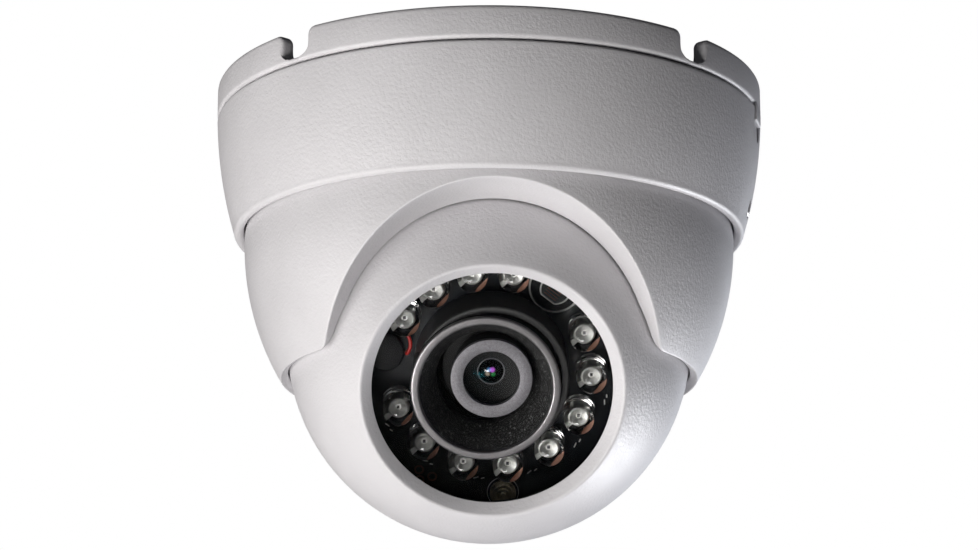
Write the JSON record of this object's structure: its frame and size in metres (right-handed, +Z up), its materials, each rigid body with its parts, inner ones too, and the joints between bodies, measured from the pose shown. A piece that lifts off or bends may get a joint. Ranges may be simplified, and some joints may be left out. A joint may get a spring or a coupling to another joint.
{
  "type": "dome cctv camera",
  "caption": "Ceiling-mounted eyeball dome security camera: a notched base and cover hold a panning bowl, and the ball in it tilts and rolls to aim the lens.",
  "frame": {"origin": "centre of the ceiling face of the mounting base, on the pan axis", "axes": "+Z up into the ceiling, -Y the way the camera looks, +X to the right as seen from in front of it"},
  "size_m": [0.0938, 0.0938, 0.0784],
  "materials": {
    "painted_white": "white powder coat with a fine orange-peel grain",
    "plastic_black": "matt black moulding",
    "rubber_black": "matt black rubber",
    "shroud_rubber": "grainy black moulded rubber",
    "steel": "bright zinc-plated steel",
    "brass": "turned brass",
    "lens_ring_grey": "satin grey anodised ring",
    "board_black": "black solder mask, satin",
    "board_green": "green solder mask, satin",
    "window_glass": "flat clear window with an anti-reflection coat",
    "lens_glass": "coated lens glass",
    "filter_glass": "greenish infrared-cut filter",
    "led_resin": "clear epoxy resin",
    "photocell": "clear-coated photocell face with a fine track",
    "wire_red": "red wire insulation",
    "plastic_white": "ivory nylon"
  },
  "bodies": {
    "base": {"mounting_base": "painted_white", "cover_ring": "painted_white", "pan_friction_ring": "rubber_black"},
    "lock_screw_right": {"lock_screw_1": "steel"},
    "lock_screw_left": {"lock_screw_2": "steel"},
    "turret": {"turret_bowl": "painted_white", "ball_retainer": "plastic_black", "ball_friction_ring": "rubber_black", "retainer_screw_1": "steel", "retainer_screw_2": "steel", "retainer_screw_3": "steel"},
    "gland": {"cable_gland": "rubber_black"},
    "night_filter": {"filter_carrier": "plastic_black", "infrared_cut_filter": "filter_glass", "clear_filter": "lens_glass"},
    "eyeball": {"eyeball_front_shell": "painted_white", "eyeball_rear_shell": "painted_white", "shell_seal": "rubber_black", "window_glass": "window_glass", "window_gasket": "rubber_black", "window_clamp_ring": "plastic_black", "led_board": "board_black", "light_sensor": "photocell", "board_cap": "plastic_black", "red_lead": "wire_red", "lens_shroud": "shroud_rubber", "board_frame": "steel", "lens_front_ring": "lens_ring_grey", "lens_front_element": "lens_glass", "lens_barrel": "plastic_black", "lens_holder": "plastic_black", "image_sensor": "board_black", "sensor_board": "board_green", "main_board": "board_green", "board_connector": "plastic_white", "shell_screw_1": "steel", "frame_screw_1": "steel", "shell_screw_2": "steel", "frame_screw_2": "steel", "shell_screw_3": "steel", "frame_screw_3": "steel", "board_screw_1": "steel", "board_standoff_1": "brass", "board_screw_2": "steel", "board_standoff_2": "brass", "led_01": "led_resin", "led_02": "led_resin", "led_03": "led_resin", "led_04": "led_resin", "led_05": "led_resin", "led_06": "led_resin", "led_07": "led_resin", "led_08": "led_resin", "led_09": "led_resin", "led_10": "led_resin", "led_11": "led_resin", "led_12": "led_resin"}
  },
  "joints": [
    {"name": "pan", "type": "hinge", "parent": "base", "child": "turret", "pos_m": [0, 0, -0.0442], "axis": [0, 0, 1], "range_deg": [-177.5, 177.5]},
    {"name": "tilt", "type": "hinge", "parent": "turret", "child": "gland", "pos_m": [0, 0, -0.0442], "axis": [-1, 0, 0], "range_deg": [-58, 20]},
    {"name": "roll", "type": "hinge", "parent": "gland", "child": "eyeball", "pos_m": [0, 0, -0.0442], "axis": [0, -0.848, -0.5299], "range_deg": [-177.5, 177.5]},
    {"name": "night_filter_shift", "type": "slide", "parent": "eyeball", "child": "night_filter", "axis": [1, 0, 0], "range_m": [0, 0.006]},
    {"name": "lock_right", "type": "slide", "parent": "base", "child": "lock_screw_right", "axis": [0.9914, -0.1305, 0], "range_m": [0, 0.001]},
    {"name": "lock_left", "type": "slide", "parent": "base", "child": "lock_screw_left", "axis": [-0.9914, 0.1305, 0], "range_m": [0, 0.001]}
  ]
}
